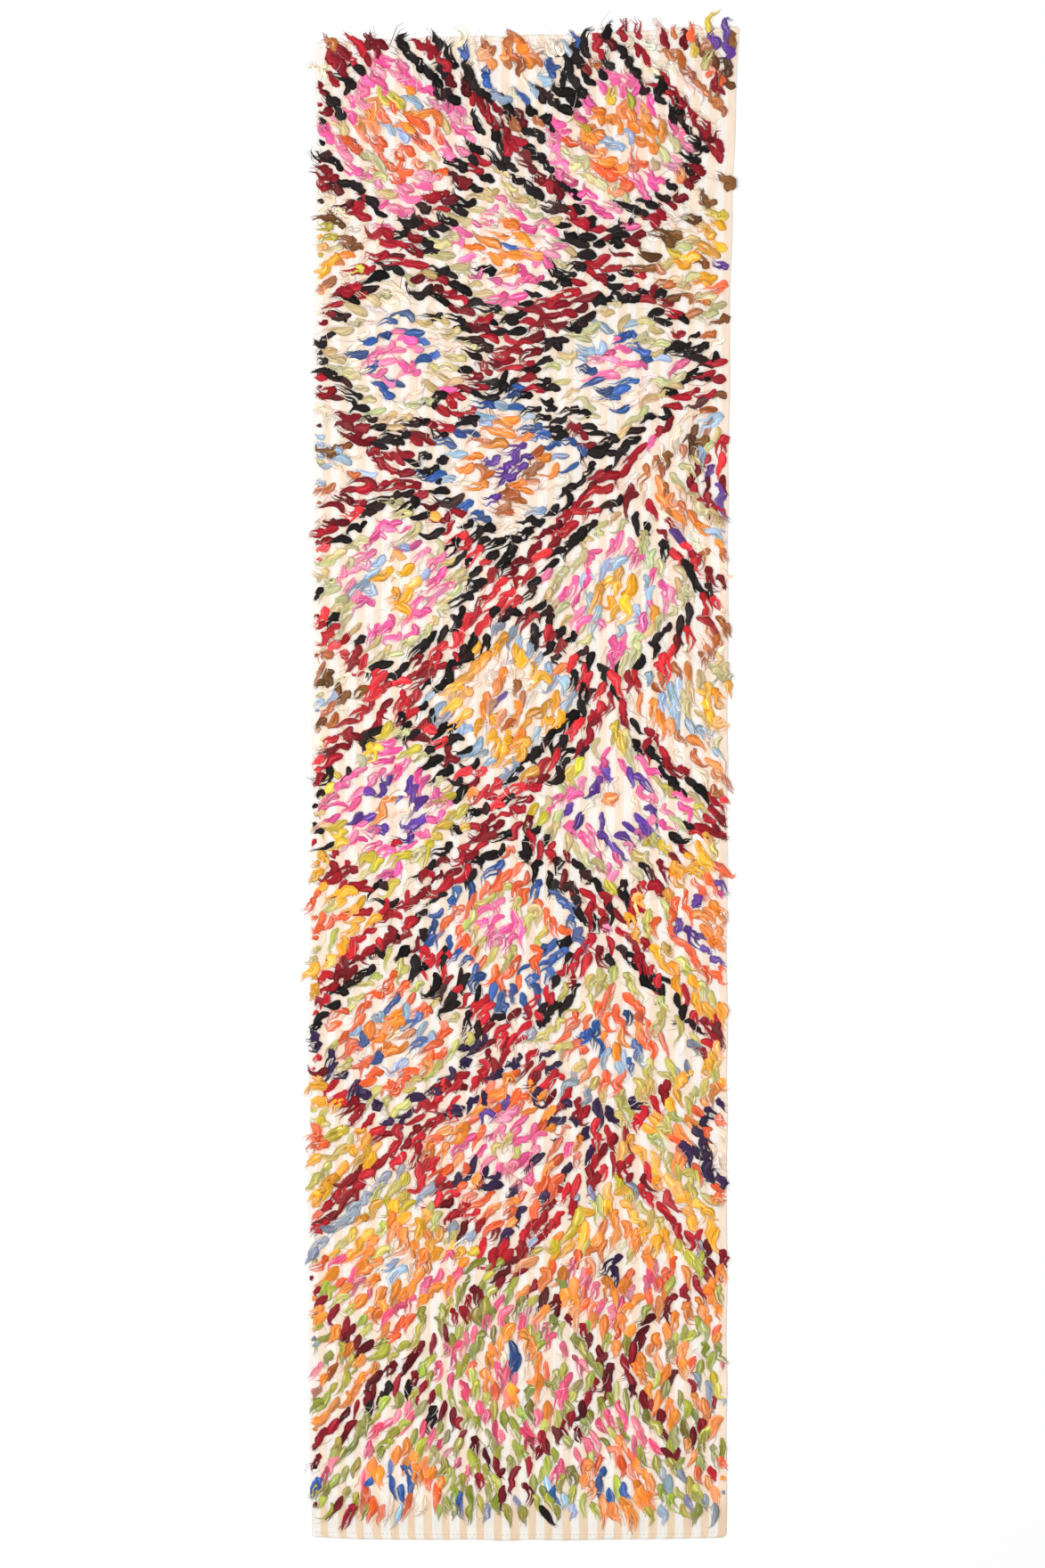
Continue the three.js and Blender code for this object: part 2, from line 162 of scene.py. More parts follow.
# Diamonds of the lattice, three lines each: the middle, across and along, then the rings above the middle and
# the rings below it, from the middle outwards. A ring gives its wool and the per cent of the half diagonal
# that it ends at, and the last ring runs to the rim. Wools joined by a plus are mixed lock by lock, and
# "same" says that the rings below are those above.
HALF_DIAGONALS = (224, 227.5)
DIAMONDS = """
-252 1341
light_blue+cream 12 orange+orange+red_orange 40 mustard+grey_green+orange 53 pink 74 black 90 crimson
light_blue+cream 24 red_orange 47 grey_green 59 pink 81 black 94 crimson
194 1320
light_blue+cream 13 orange+orange+red_orange 42 mustard+orange 50 pink 70 black 87 crimson
light_blue+cream 24 red_orange+orange 46 grey_green 58 pink 76 black 93 crimson
-15 1507
rust+orange 40 light_blue+cream 62 blue+black 82 crimson+black
rust+orange 32 cream 40 blue+light_blue 56 black 67 crimson+crimson+black
-28 1103
red_orange 4 orange 27 cream 34 pink 54 grey_green 70 black 85 crimson
blue 7 orange 28 cream 36 pink 56 grey_green 68 black 86 crimson
-256 881
pink 25 blue 41 cream 60 grey_green 74 black 91 crimson
purple 4 pink 27 blue 42 cream 54 grey_green 71 black 89 crimson
197 859
pink 26 blue 39 cream+light_blue 48 grey_green 67 black 82 crimson+crimson+black
cream 7 pink 26 blue 41 cream 54 grey_green 72 black 88 crimson
-28 653
pink 7 purple 27 orange+rust 48 cream 55 light_blue+blue 69 black+blue 76 black 92 crimson
pink 6 purple 25 orange+rust 48 cream 62 light_blue+blue 75 black 91 crimson
-261 415
cream 6 amber 27 light_blue+cream 44 pink 65 grey_green 80 black 93 red
amber 29 light_blue+cream 40 pink 61 grey_green 78 black 90 red
194 391
amber 26 light_blue+cream 36 pink 62 grey_green 80 black 92 red
amber 28 light_blue+cream 39 pink 60 grey_green 72 black 88 red
-32 173
purple 6 orange+rust+orange 27 cream 37 amber 60 grey_blue+light_blue 71 black 86 red
purple 6 orange+rust+orange 29 cream 35 amber 60 grey_blue+light_blue 70 black 86 red
-268 -49
orange 6 cream+orange 13 cream 31 purple+cream 42 pink 64 mustard+grey_green 76 black 90 crimson
orange 6 cream+orange 13 cream 25 purple+cream 41 pink 59 mustard 70 cream+grey_green 78 black 90 crimson
196 -45
orange 10 cream 30 purple 43 pink 64 mustard+grey_green 76 black 88 crimson
orange 10 cream 29 purple 45 pink 65 mustard+grey_green 80 black 92 crimson
-28 -286
pink 26 lime 42 red_orange 62 blue 76 black 90 crimson
pink 28 lime 41 red_orange 58 blue 77 black 90 crimson
-263 -510
cream 5 orange 27 blue+light_blue 42 red_orange 59 lime 77 black 90 crimson
orange 25 light_blue+blue+cream 41 red_orange 60 lime 76 aubergine 90 crimson
201 -510
orange 10 red_orange+orange 22 blue 35 red_orange 51 lime 72 black 87 crimson
orange 24 red_orange 28 blue+light_blue+cream 42 red_orange 58 lime 79 aubergine+grey_blue 90 crimson
-25 -738
lime 18 pink 42 purple+red_orange 49 red_orange+orange 71 aubergine 82 crimson
red_orange 6 lime 20 pink 40 pink+aubergine 54 red_orange+orange 77 aubergine+red_orange 84 crimson
-256 -963
lime+light_blue 7 cream 19 orange 36 amber+orange 46 amber 60 lime+mustard 76 grey_blue 88 crimson
lime 9 cream+light_blue 23 orange 46 pink 61 orange+red_orange 79 green+lime
194 -963
cream+lime 17 orange 36 orange+amber 48 amber 62 lime+mustard 77 grey_blue 84 crimson
aubergine 15 cream 23 orange+red_orange 41 pink 59 red_orange+orange 75 green+orange 88 wine
-21 -1187
blue+cream 16 orange 39 green 55 pink 70 green 86 wine
blue+pink 17 cream 24 orange+red_orange 43 green 59 pink 76 green 89 wine
-248 -1414
blue 16 orange 41 green 55 pink 70 green 88 wine+wine+black
blue+light_blue 16 blue+cream 26 orange+red_orange+cream 48 green 69 wine+green 77 green+green+blue
197 -1414
green 6 blue 18 red_orange+orange 41 green 54 pink 67 green 85 wine
green 7 blue+cream 26 orange 44 green 60 blue+light_blue 77 green 90 wine+black
-25 -1633
orange 30 pink 50 green 74 green+grey_blue 86 wine
same
430 1525
purple 14 brown 27 mustard+grey_green 34 red_orange+crimson 60 rust 74 cream 92 crimson
purple+brown 20 brown+rust 38 mustard+grey_green 48 crimson+red_orange 60 rust 78 cream 95 crimson
421 1079
purple 17 amber 40 mustard+grey_green 60 brown 80 cream 90 crimson
purple 16 brown+red_orange 33 amber 48 grey_green 64 brown+rust 84 cream 94 crimson
421 633
purple 8 red 33 grey_green 46 light_blue+brown 60 brown+rust 80 cream 94 crimson
purple+crimson 24 crimson 42 grey_green 56 light_blue 64 rust+orange 84 cream 95 crimson
418 178
purple+amber 8 amber 25 grey_green 40 light_blue+cream 54 rust 72 cream 85 red
cream+purple 8 amber 34 grey_green 48 cream+light_blue 61 orange+rust 82 cream 92 red
409 -284
cream 12 orange 22 red_orange+pink 32 purple 41 red_orange 59 lime 69 amber 87 crimson
cream 8 orange 20 red_orange+orange 34 purple 48 red_orange 61 lime 75 amber 92 crimson
416 -732
red_orange+cream 26 aubergine 41 red_orange+orange 62 lime 75 amber 92 crimson
red_orange 12 cream+aubergine 28 aubergine 42 red_orange+orange 60 lime 74 amber 93 crimson
421 -1205
pink+purple 14 brown+grey_green 25 green 40 orange+red_orange 62 green 80 orange
pink 8 mustard 24 grey_blue 40 wine+orange 56 green 72 orange 90 wine
399 -1400
brown+red_orange 16 green 40 orange+wine 60 green 74 orange+wine
crimson 8 red_orange+orange 22 green+grey_blue
-476 1525
rust+cream 50 crimson+cream 64 crimson
same
-476 1097
amber 45 mustard+grey_green 52 brown 71 cream 85 crimson
amber+mustard 54 rust+orange 65 cream 84 crimson
-476 652
grey_green 40 light_blue 54 brown 71 cream 88 crimson
light_blue+cream 46 rust 64 cream 80 crimson
-476 178
grey_green 38 light_blue+brown 48 brown+rust 72 cream 87 red
grey_green 30 light_blue 46 rust+brown 62 cream 70 red
-476 -277
purple+pink 30 red_orange 50 lime 60 amber 80 crimson
red_orange 46 lime 58 amber 80 crimson
-476 -732
red_orange 44 lime+mustard 62 amber 80 crimson
red_orange 48 lime 65 amber 84 crimson
-476 -1187
pink+purple 32 grey_blue 46 green 61 orange 79 wine
purple+pink 44 rust+green 54 green 70 orange 88 wine
-476 -1640
green 40 orange 65 green 82 wine
same
"""
RING_WANDER = 0.02
# The share of knots that is worn away or left untied, so that the striped ground shows
BARE_SHARE = {"cream": 0.35, "grey_green": 0.08, "lime": 0.12}
PALE_WOOLS = ("cream", "grey_green", "lime")
DARK_WOOLS = ("black", "crimson", "wine", "aubergine", "brown")
UNEVEN_WOOLS = ("black", "crimson", "wine", "red", "brown")
WARMER = (1.03, 0.96, 0.88)
TANNER = (1.04, 0.88, 0.76)
GREENER = (0.94, 1.0, 0.96)
ROSIER = (0.9, 0.82, 0.56)
RUSTY_BLACK = (3.2, 1.9, 1.7)
BRIGHTER = (1.5, 1.8, 1.3)
LOOSE_FIBRES = 900
FIBRE_LENGTHS = (16, 46)
SHORT_LOCK = 26
STRAY_COLOUR = 0.022

# The wools: the colour as sRGB numbers from 0 to 255, how full the locks are, and the share by which they
# pale towards the last colour where the wool lies thin and at the painted highlights along its streaks
WOOLS = {
    "crimson": ((150, 22, 36), 1.03, 0.07),
    "red": ((200, 40, 48), 1.08, 0.16),
    "wine": ((130, 20, 34), 1.0, 0.07),
    "pink": ((244, 86, 156), 0.9, 0.5),
    "red_orange": ((240, 96, 44), 1.0, 0.5),
    "orange": ((248, 140, 46), 1.22, 0.5),
    "amber": ((250, 172, 42), 1.24, 0.5),
    "mustard": ((212, 186, 50), 1.2, 0.5),
    "lime": ((204, 193, 102), 0.92, 0.5),
    "green": ((158, 158, 56), 1.0, 0.5),
    "grey_green": ((208, 196, 142), 1.0, 0.5),
    "cream": ((252, 236, 217), 0.5, 0.5),
    "light_blue": ((160, 184, 212), 1.0, 0.5),
    "blue": ((50, 88, 156), 1.0, 0.26),
    "purple": ((96, 56, 148), 1.0, 0.22),
    "aubergine": ((54, 34, 68), 1.0, 0.06),
    "grey_blue": ((146, 154, 174), 1.0, 0.5),
    "black": ((27, 20, 21), 1.08, 0.04),
    "brown": ((116, 72, 36), 1.15, 0.12),
    "rust": ((186, 100, 44), 1.0, 0.5),
}
# The pale colour of thin wool, which also paints the highlights along the fibres: painted highlight
THIN_WOOL_AND_HIGHLIGHT = (255, 244, 234)
# The ground: its two stripes on the bare band at the foot, and under the pile, painted lighter to offset the
# locks' shade
BARE_STRIPES = ((234, 208, 179), (239, 234, 226))
STRIPES_LIT_UNDER_PILE = ((245, 225, 205), (246, 239, 231))
HEM_THREAD = (222, 206, 182)
FLOOR_COLOUR = (250, 250, 250)

# The most triangles in a piece, and the margin around each strand in the layout of a baked texture
PIECE_LIMIT = 190_000
LAYOUT_MARGIN = 0.08


def linear(rgb):
    """sRGB numbers from 0 to 255 as linear ones from 0 to 1."""
    share = np.asarray(rgb, float) / 255
    return np.where(share <= 0.04045, share / 12.92, ((share + 0.055) / 1.055) ** 2.4)


def smooth_step(low, high, value):
    """Rises softly from 0 at low to 1 at high; high may lie below low."""
    share = np.clip((value - low) / (high - low), 0, 1)
    return share * share * (3 - 2 * share)


def selvedges_at(along):
    left, right = (np.interp(along, SELVEDGE_PLACES, edge) for edge in (LEFT_SELVEDGE, RIGHT_SELVEDGE))
    return left, right


def ends_at(share_across):
    foot, head = (np.interp(share_across, END_SHARES, edge) for edge in (FOOT_END, HEAD_END))
    return foot, head


def past_edge(across, along):
    """How far a place lies outside the cloth, in millimetres: negative on the cloth."""
    left, right = selvedges_at(along)
    share = np.clip((across - left) / (right - left), 0, 1)
    foot, head = ends_at(share)
    return np.maximum.reduce([left - across, across - right, foot - along, along - head])


# Meshes


def new_mesh(name, vertices, faces_of_three, faces_of_four):
    """A mesh object from arrays: vertices in metres and faces as rows of vertex numbers."""
    mesh = bpy.data.meshes.new(name)
    corners = np.concatenate([faces_of_three.ravel(), faces_of_four.ravel()])
    threes, fours = len(faces_of_three), len(faces_of_four)
    starts = np.concatenate([np.arange(threes) * 3, threes * 3 + np.arange(fours) * 4])
    mesh.vertices.add(len(vertices))
    mesh.vertices.foreach_set("co", vertices.astype(np.float32).ravel())
    mesh.loops.add(len(corners))
    mesh.loops.foreach_set("vertex_index", corners.astype(np.int32))
    mesh.polygons.add(threes + fours)
    mesh.polygons.foreach_set("loop_start", starts.astype(np.int32))
    mesh.update(calc_edges=True)
    mesh.validate()
    mesh.polygons.foreach_set("use_smooth", np.full(threes + fours, True))
    obj = bpy.data.objects.new(name, mesh)
    bpy.context.scene.collection.objects.link(obj)
    return obj


def add_uv(obj, name, uv):
    layer = obj.data.uv_layers.new(name=name, do_init=False)
    layer.uv.foreach_set("vector", uv.astype(np.float32).ravel())


# Ground cloth


def cloth_outline(share_across, share_along):
    """A place on the cloth from its shares across and along, with the corners rounded off."""
    foot, head = ends_at(share_across)
    along = foot + share_along * (head - foot)
    left, right = selvedges_at(along)
    middle = (left + right) / 2
    from_end = np.minimum(along - foot, head - along)
    rounding = CORNER_ROUNDING * (1 - np.sqrt(1 - np.clip(1 - from_end / CORNER_ROUNDING, 0, 1) ** 2))
    half = (right - left) / 2 - rounding
    return middle + half * (2 * share_across - 1), along


def cloth_shares(cells, edge_widths):
    """Shares from 0 to 1 with extra narrow cells at both ends."""
    inner = np.linspace(0, 1, cells + 1)[1:-1]
    edges = np.array(edge_widths)
    return np.unique(np.concatenate([[0, 1], edges, 1 - edges, inner]))


def ground_cloth():
    """The flat-woven cloth: one closed sheet with a soft selvedge and its ends turned over as hems."""
    across_shares = cloth_shares(CLOTH_CELLS[0], (0.0012, 0.004))
    hem = HEM_DEPTH / CLOTH_LENGTH
    along_shares = cloth_shares(CLOTH_CELLS[1], (0.0004, 0.0012, 0.6 * hem, hem, 1.15 * hem))
    u, v = np.meshgrid(across_shares, along_shares)
    across, along = cloth_outline(u, v)
    # The weaver's tension pulls the selvedge in and out a little, and the hem is not quite straight
    across += 1.1 * np.sin(along / 41 + np.sin(along / 97)) * (2 * u - 1) ** 8
    along += 1.3 * np.sin(across / 33 + 2 * np.sin(across / 71)) * (2 * v - 1) ** 400
    from_end = np.minimum(v, 1 - v) * CLOTH_LENGTH
    from_side = np.minimum(u, 1 - u) * CLOTH_WIDTH
    hem_share = 1 - smooth_step(HEM_DEPTH * 0.9, HEM_DEPTH * 1.15, from_end)
    top = GROUND_THICKNESS + (HEM_THICKNESS - GROUND_THICKNESS) * hem_share
    edge = np.minimum(from_side, from_end)
    top = np.where(edge < 1.5, top * (0.45 + 0.55 * smooth_step(0, 1.5, edge)), top)
    pucker = 0.35 * np.sin(across / 17.7 * np.pi) * np.sin(along / 23 + across / 61)
    top += pucker * smooth_step(2, 12, edge)
    rows, columns = u.shape
    flat = np.stack([across, along, top], -1).reshape(-1, 3)
    under = flat.copy()
    under[:, 2] = 0.0
    vertices = np.concatenate([flat, under]) * MM
    vertices[:, :2] += MIDDLE
    grid = np.arange(rows * columns).reshape(rows, columns)
    quads = np.stack([grid[:-1, :-1], grid[:-1, 1:], grid[1:, 1:], grid[1:, :-1]], -1).reshape(-1, 4)
    layer = rows * columns
    rim = np.concatenate([grid[0, :], grid[1:, -1], grid[-1, -2::-1], grid[-2:0:-1, 0]])
    after = np.roll(rim, -1)
    walls = np.stack([rim, rim + layer, after + layer, after], -1)
    faces = np.concatenate([quads, quads[:, ::-1] + layer, walls])
    cloth = new_mesh("ground_cloth", vertices, np.empty((0, 3), int), faces)
    places = np.stack([u * CLOTH_WIDTH, (v - 0.5) * CLOTH_LENGTH], -1).reshape(-1, 2)
    places = np.concatenate([places, places])
    add_uv(cloth, "Cloth", places[faces.ravel()] * MM)
    return cloth


# Wool locks


def toward(angle):
    """A step of length 1 at an angle, across and along."""
    return np.stack([np.cos(angle), np.sin(angle)], -1)


def course_of(angles):
    """A line of length 1 from its start: one even step at each of the angles after the first."""
    steps = toward(angles) / (angles.shape[1] - 1)
    steps[:, 0] = 0
    return np.cumsum(steps, 1)


def flow_at(places):
    """The way that the locks lie at each of the places, in radians."""
    across, along = places.T
    rows, *columns = np.array(FLOW)[::-1].T
    by_column = np.stack([np.interp(along, rows, column) for column in columns])
    place = np.interp(across, FLOW_ACROSS, np.arange(len(FLOW_ACROSS)))
    low = np.clip(place.astype(int), 0, len(FLOW_ACROSS) - 2)
    share = place - low
    picked = np.arange(len(across))
    flow = by_column[low, picked] * (1 - share) + by_column[low + 1, picked] * share
    for wave, swing, heading, phase in FLOW_DRIFTS:
        facing = math.radians(heading)
        travelled = across * math.cos(facing) + along * math.sin(facing)
        flow = flow + swing * np.sin(2 * math.pi * travelled / wave + math.radians(phase))
    return np.radians(flow)


def knots():
    """Where the wool is knotted in, row by row from the foot of the rug to its head."""
    places = []
    row = 0
    along = LOWEST_FOOT + BARE_BAND
    while along < LAST_ROW:
        left, right = selvedges_at(along)
        shift = 0.5 if row % 2 else 0.0
        count = int((right - left) / STRIPE_PAIR + 1 - shift)
        for i in range(count):
            across = left + KNOT_EDGE_MARGIN + (i + shift) * STRIPE_PAIR
            if across < right - KNOT_EDGE_MARGIN * 0.4:
                places.append((across, along))
        along += KNOT_ROW_PITCH
        row += 1
    places = np.array(places, float)
    places += rng.normal(0, 1, places.shape) * KNOT_SHIFT
    inside = past_edge(places[:, 0], places[:, 1] + HEAD_MARGIN * (places[:, 1] > 0)) < -KNOT_INSIDE
    return places[inside]


def ring_tables():
    """The diamonds' middles, and for each its rings below and above the middle as (limit, wools)."""
    lines = DIAMONDS.split("\n")[1:-1]
    middles = np.array([line.split() for line in lines[::3]], float)
    rings = []
    for above, below in zip(lines[1::3], lines[2::3], strict=True):
        tables = []
        for line in (above if below == "same" else below, above):
            words = [*line.split(), "100"]
            tables.append([(int(words[i + 1]) / 100, words[i].split("+")) for i in range(0, len(words), 2)])
        rings.append(tables)
    return middles, rings


def wool_names(places):
    """The wool that each knot is tied with, from the diamond and the ring that its lock lies in."""
    middles, rings = ring_tables()
    apart = np.abs(places[:, None, :] - middles[None]) / HALF_DIAGONALS
    distance = apart.sum(-1)
    nearest = distance.argmin(1)
    least = distance.min(1) + rng.normal(0, RING_WANDER, len(places))
    names = []
    for place, motif, share in zip(places, nearest, least, strict=True):
        if rng.random() < STRAY_COLOUR:
            share = rng.random()
        for limit, wools in rings[motif][int(place[1] > middles[motif][1])]:
            if share <= limit:
                break
        names.append(wools[rng.integers(len(wools))])
    return np.array(names)


def trimmed_lengths(heads, course, length):
    """Lengths cut back so that only some tails hang over the cloth's edge, and most of those by little."""
    count, samples = course.shape[:2]
    overhanging = rng.random(count) < OVERHANG_SHARE
    reach = np.where(overhanging, rng.uniform(*OVERHANG, count), rng.exponential(2.0, count) - 3.5)
    reach = np.where(heads[:, 1] > FRINGED_FROM, rng.uniform(*FRINGE, count), reach)
    places = heads[:, None] + course * length[:, None, None]
    over = past_edge(places[..., 0], places[..., 1]) > reach[:, None]
    first = np.where(over.any(1), over.argmax(1), samples)
    return length * np.clip(first / samples, 0.24, 1)


def lock_paths(heads, length, wildness):
    """Each lock's middle line on the cloth, from its knot to its tip, its heading there and its length."""
    count = len(heads)
    s = np.linspace(0, 1, PATH_SAMPLES)[None, :]
    heading = flow_at(heads) + rng.normal(0, math.radians(LEAN), count) * wildness
    hooked = rng.random(count) < HOOKED_SHARE * wildness
    hook = rng.normal(0, math.radians(ROOT_TURN), count) * wildness
    hook = np.where(hooked, rng.choice([-1, 1], count) * rng.uniform(1.0, 2.0, count), hook)
    bend = rng.normal(0, math.radians(BEND), count) * wildness
    curl = rng.normal(0, math.radians(CURL), count) * wildness
    wave = np.abs(rng.normal(0, math.radians(WAVE), count)) * wildness
    turns = rng.uniform(0.8, 1.8, count)
    phase = rng.uniform(0, 2 * math.pi, count)
    crimped = smooth_step(*CRIMPED_FROM, heads[:, 1]) * rng.uniform(0.3, 1, count)
    angle = heading[:, None] + hook[:, None] * np.clip(1 - s / 0.42, 0, 1) ** 1.3
    angle = angle + bend[:, None] * (s - 0.5) + curl[:, None] * smooth_step(0.45, 1.0, s)
    angle = angle + wave[:, None] * np.sin(2 * math.pi * turns[:, None] * s + phase[:, None])
    ripple = np.sin(2 * math.pi * length[:, None] * s / RIPPLE_LENGTH + 2 * phase[:, None])
    angle = angle + math.radians(RIPPLE_SWING) * crimped[:, None] * ripple
    course = course_of(angle)
    length = trimmed_lengths(heads, course, length)
    paths = heads[:, None, :] + course * length[:, None, None]
    # A lock tied beside a selvedge is pushed in until its short tail lies on the cloth
    left, right = selvedges_at(paths[..., 1])
    short = length < SHORT_LOCK
    paths[..., 0] += short[:, None] * np.clip(left - paths[..., 0] + 5, 0, 14).max(1, keepdims=True)
    paths[..., 0] -= short[:, None] * np.clip(paths[..., 0] - right + 5, 0, 14).max(1, keepdims=True)
    return paths, angle, length


def along_path(values, s):
    """Reads values, sampled evenly along each path, at the shares s of each path's length."""
    place = np.clip(s, 0, 1) * (values.shape[1] - 1)
    low = np.minimum(place.astype(int), values.shape[1] - 2)
    share = place - low
    rows = np.arange(len(values))[:, None]
    first, second = values[rows, low], values[rows, low + 1]
    if values.ndim == 3:
        share = share[..., None]
    return first * (1 - share) + second * share


def tube(sections, sides):
    """One closed tube, its rings in order and then a point at each end: the threes that close its ends, the
    fours along it, and a flat layout of all their corners, around and along the tube from 0 to 1.
    """
    ring, side = np.divmod(np.arange((sections - 1) * sides), sides)
    corners = ((ring, side), (ring, side + 1), (ring + 1, side + 1), (ring + 1, side))
    fours = np.stack([along * sides + around % sides for along, around in corners], -1)
    layout = np.stack([(around / sides, along / (sections - 1)) for along, around in corners])
    here = np.arange(sides)
    after = (here + 1) % sides
    first, last = np.full(sides, sections * sides), (sections - 1) * sides
    threes = [np.stack([first, after, here], -1), np.stack([first + 1, last + here, last + after], -1)]
    around = [np.add.outer(here, shifts) / sides for shifts in ((0.5, 1, 0), (0.5, 0, 1))]
    ends = np.stack([np.concatenate(around).ravel(), np.repeat((0.0, 1.0), 3 * sides)], -1)
    return np.concatenate(threes), fours, np.concatenate([ends, layout.transpose(2, 0, 1).reshape(-1, 2)])


class Strands:
    """Many tubes with the same sections and sides, given in millimetres and kept in metres."""

    def __init__(self, place, height, headings, half_width, half_height, sides, tint, wool, seeds, tips):
        centres = np.concatenate([place, height[..., None]], -1) * MM
        centres[..., :2] += MIDDLE
        half_width, half_height = half_width * MM, half_height * MM
        self.sections, self.sides = centres.shape[1], sides
        around = (np.arange(sides) + 0.5) * 2 * math.pi / sides
        side = np.stack([-np.sin(headings), np.cos(headings), np.zeros_like(headings)], -1)
        up = np.array([0.0, 0.0, 1.0])
        wide = half_width[..., None] * np.cos(around)
        tall = half_height[..., None] * np.maximum(np.sin(around), UNDERSIDE * np.sin(around))
        rings = centres[:, :, None, :] + wide[..., None] * side[:, :, None, :] + tall[..., None] * up
        forward = np.stack([np.cos(headings), np.sin(headings), np.zeros_like(headings)], -1)
        first = centres[:, 0] - forward[:, 0] * half_width[:, 0, None] * tips[0]
        last = centres[:, -1] + forward[:, -1] * half_width[:, -1, None] * tips[1]
        count = len(centres)
        rings = rings.reshape(count, -1, 3)
        self.vertices = np.concatenate([rings, first[:, None], last[:, None]], 1)
        self.tint = np.concatenate([np.repeat(tint, sides, 1), tint[:, :1], tint[:, -1:]], 1)
        self.wool, self.seeds = wool, seeds
        steps = np.linalg.norm(np.diff(centres, axis=1), axis=-1).sum(1)
        self.spans = np.stack([half_width.max(1) * math.pi * 1.6, steps], -1)

    def picked(self, mask):
        copy = object.__new__(Strands)
        copy.sections, copy.sides = self.sections, self.sides
        for name in ("vertices", "tint", "wool", "seeds", "spans"):
            setattr(copy, name, getattr(self, name)[mask])
        return copy

    def triangles(self):
        return len(self.vertices) * (2 * self.sides * (self.sections - 1) + 2 * self.sides)


def rest_on_cloth(across_along, height, half_height):
    """Keeps a strand's middle line above the cloth, and lets it down to the floor past the cloth's edge."""
    outside = past_edge(across_along[..., 0], across_along[..., 1])
    gone_over = smooth_step(*SINKING, outside)
    surface = GROUND_THICKNESS * (1 - gone_over)
    lifted = np.maximum(height, GROUND_THICKNESS + half_height + 0.2)
    lowered = surface + half_height + 0.1 + (lifted - GROUND_THICKNESS - half_height) * (1 - gone_over)
    return np.where(outside > SINKING[0], lowered, lifted)


def lock_tints(heads, wool):
    """Each lock's own tint: lighter or darker, some pale wools warmer, and the pinks near the foot rosier."""
    count = len(heads)
    pale = np.isin(wool, PALE_WOOLS)
    kinds = [pale, np.isin(wool, UNEVEN_WOOLS), np.isin(wool, ("green", "blue"))]
    varied = np.select(kinds, [0.06, 0.55, 0.28], 0.14)
    shade = np.exp(rng.normal(0, 1, count) * varied)
    drift = np.where(np.isin(wool, ("green", "lime", "mustard")), 0.08, 0.06)
    tint = np.clip(shade, 0.3, 1.5)[:, None] * (1 + rng.normal(0, 1, (count, 3)) * drift[:, None])
    chance = rng.random(count)
    khaki = wool == "grey_green"
    tint *= np.where((pale & ~khaki & (chance < 0.45))[:, None], WARMER, 1.0)
    tint *= np.where((khaki & (chance < 0.4))[:, None], TANNER, 1.0)
    tint *= np.where((khaki & (chance > 0.7))[:, None], GREENER, 1.0)
    tint *= np.where(((wool == "black") & (chance < 0.15))[:, None], RUSTY_BLACK, 1.0)
    rosy = smooth_step(-500, -1000, heads[:, 1]) * (wool == "pink")
    tint *= 1 + rosy[:, None] * (np.array(ROSIER) - 1)
    bright = smooth_step(0, -500, heads[:, 1]) * (wool == "crimson")
    return tint * (1 + bright[:, None] * (np.array(BRIGHTER) - 1))


